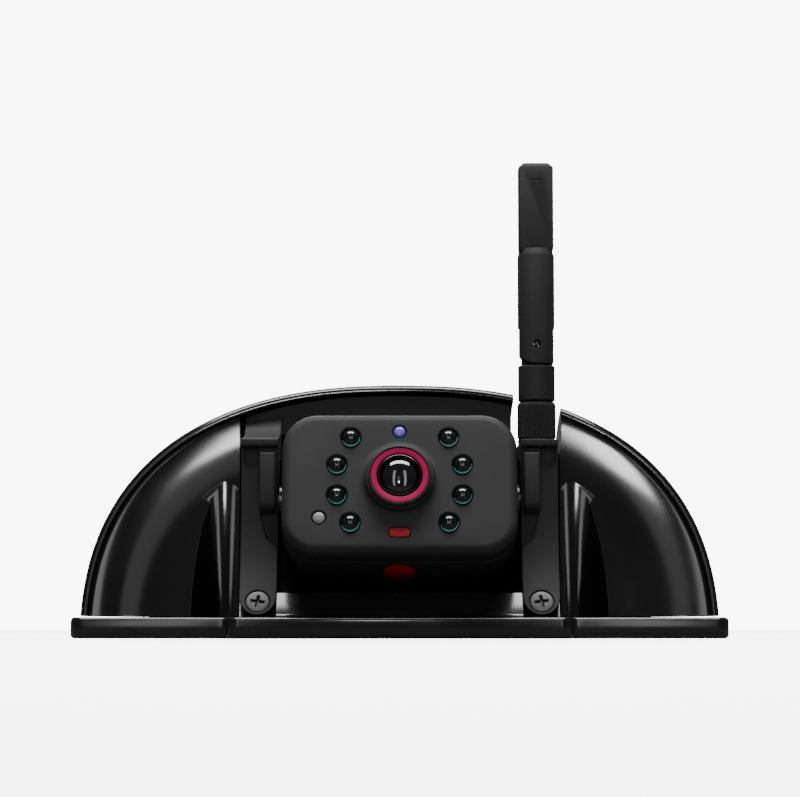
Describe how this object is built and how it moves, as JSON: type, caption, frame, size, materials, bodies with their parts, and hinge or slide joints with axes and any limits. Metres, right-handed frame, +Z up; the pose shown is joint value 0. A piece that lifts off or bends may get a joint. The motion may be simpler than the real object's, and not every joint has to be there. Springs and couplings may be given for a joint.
{
  "type": "security camera",
  "caption": "Fin-shaped vehicle rear-view camera housing with a tilting infrared camera head between two arms and a folding swivel antenna.",
  "frame": {"origin": "middle of the flat mounting face under the base", "axes": "+X to the right seen from in front, -Y the way the lens looks, +Z up from the mounting face"},
  "size_m": [0.186, 0.1295, 0.1392],
  "materials": {
    "gloss_shell": "injection-moulded gloss black",
    "gloss_base": "injection-moulded gloss black",
    "matte_plastic": "fine-textured matt black",
    "black_trim": "smooth satin black",
    "accent": "satin magenta",
    "badge_red": "plain red",
    "rubber": "matt black",
    "screw_steel": "grey-coated steel",
    "steel": "plain",
    "brass": "plain",
    "copper": "bare copper",
    "circuit_board": "green solder mask",
    "lens_glass": "coated optical glass",
    "led_glass": "dark clear resin",
    "sensor_blue": "blue-tinted resin",
    "grey_plastic": "plain grey"
  },
  "bodies": {
    "housing": {"antenna_jack": "brass", "antenna_jack_nut": "brass", "antenna_jack_seal": "rubber", "antenna_pigtail": "rubber", "base_cable_grommet": "rubber", "base_frame": "gloss_base", "base_gasket": "rubber", "board_screw_left": "screw_steel", "board_screw_right": "screw_steel", "bracket_screw_left": "screw_steel", "bracket_screw_right": "screw_steel", "head_bracket": "matte_plastic", "outer_shell": "gloss_shell", "power_connector": "grey_plastic", "radio_board": "circuit_board", "radio_shield_can": "steel", "shell_screw_1": "screw_steel", "shell_screw_2": "screw_steel", "shell_screw_3": "screw_steel", "shell_screw_4": "screw_steel"},
    "head": {"face_badge": "badge_red", "friction_washer_left": "grey_plastic", "friction_washer_right": "grey_plastic", "front_lens_element": "lens_glass", "head_cable_grommet": "rubber", "head_front_bezel": "matte_plastic", "head_gasket": "rubber", "head_rear_housing": "matte_plastic", "head_screw_1": "screw_steel", "head_screw_2": "screw_steel", "head_screw_3": "screw_steel", "head_screw_4": "screw_steel", "image_sensor": "led_glass", "infrared_cut_filter": "lens_glass", "infrared_led_1": "led_glass", "infrared_led_2": "led_glass", "infrared_led_3": "led_glass", "infrared_led_4": "led_glass", "infrared_led_5": "led_glass", "infrared_led_6": "led_glass", "infrared_led_7": "led_glass", "infrared_led_8": "led_glass", "led_board": "circuit_board", "lens_accent_ring": "accent", "lens_barrel": "black_trim", "lens_bezel": "black_trim", "lens_holder": "black_trim", "light_sensor": "sensor_blue", "microphone_dome": "grey_plastic", "pivot_screw_left": "screw_steel", "pivot_screw_right": "screw_steel", "rear_lens_element": "lens_glass", "sensor_board": "circuit_board", "underside_badge": "badge_red"},
    "coupling_nut": {"antenna_coupling_nut": "matte_plastic"},
    "antenna_base": {"antenna_elbow": "matte_plastic", "antenna_hinge_pin": "steel"},
    "antenna_top": {"antenna_blade": "matte_plastic", "antenna_radiator": "copper"}
  },
  "joints": [
    {"name": "head_tilt", "type": "hinge", "parent": "housing", "child": "head", "pos_m": [0, -0.0455, 0.0388], "axis": [1, 0, 0], "range_deg": [-25, 38]},
    {"name": "coupling_nut_spin", "type": "hinge", "parent": "housing", "child": "coupling_nut", "pos_m": [0.04, -0.027, 0.06], "axis": [0, 0, 1], "continuous": true},
    {"name": "antenna_swivel", "type": "hinge", "parent": "housing", "child": "antenna_base", "pos_m": [0.04, -0.027, 0.07], "axis": [0, 0, 1], "range_deg": [-180, 180]},
    {"name": "antenna_fold", "type": "hinge", "parent": "antenna_base", "child": "antenna_top", "pos_m": [0.04, -0.027, 0.0855], "axis": [0, -1, 0], "range_deg": [0, 90]}
  ]
}
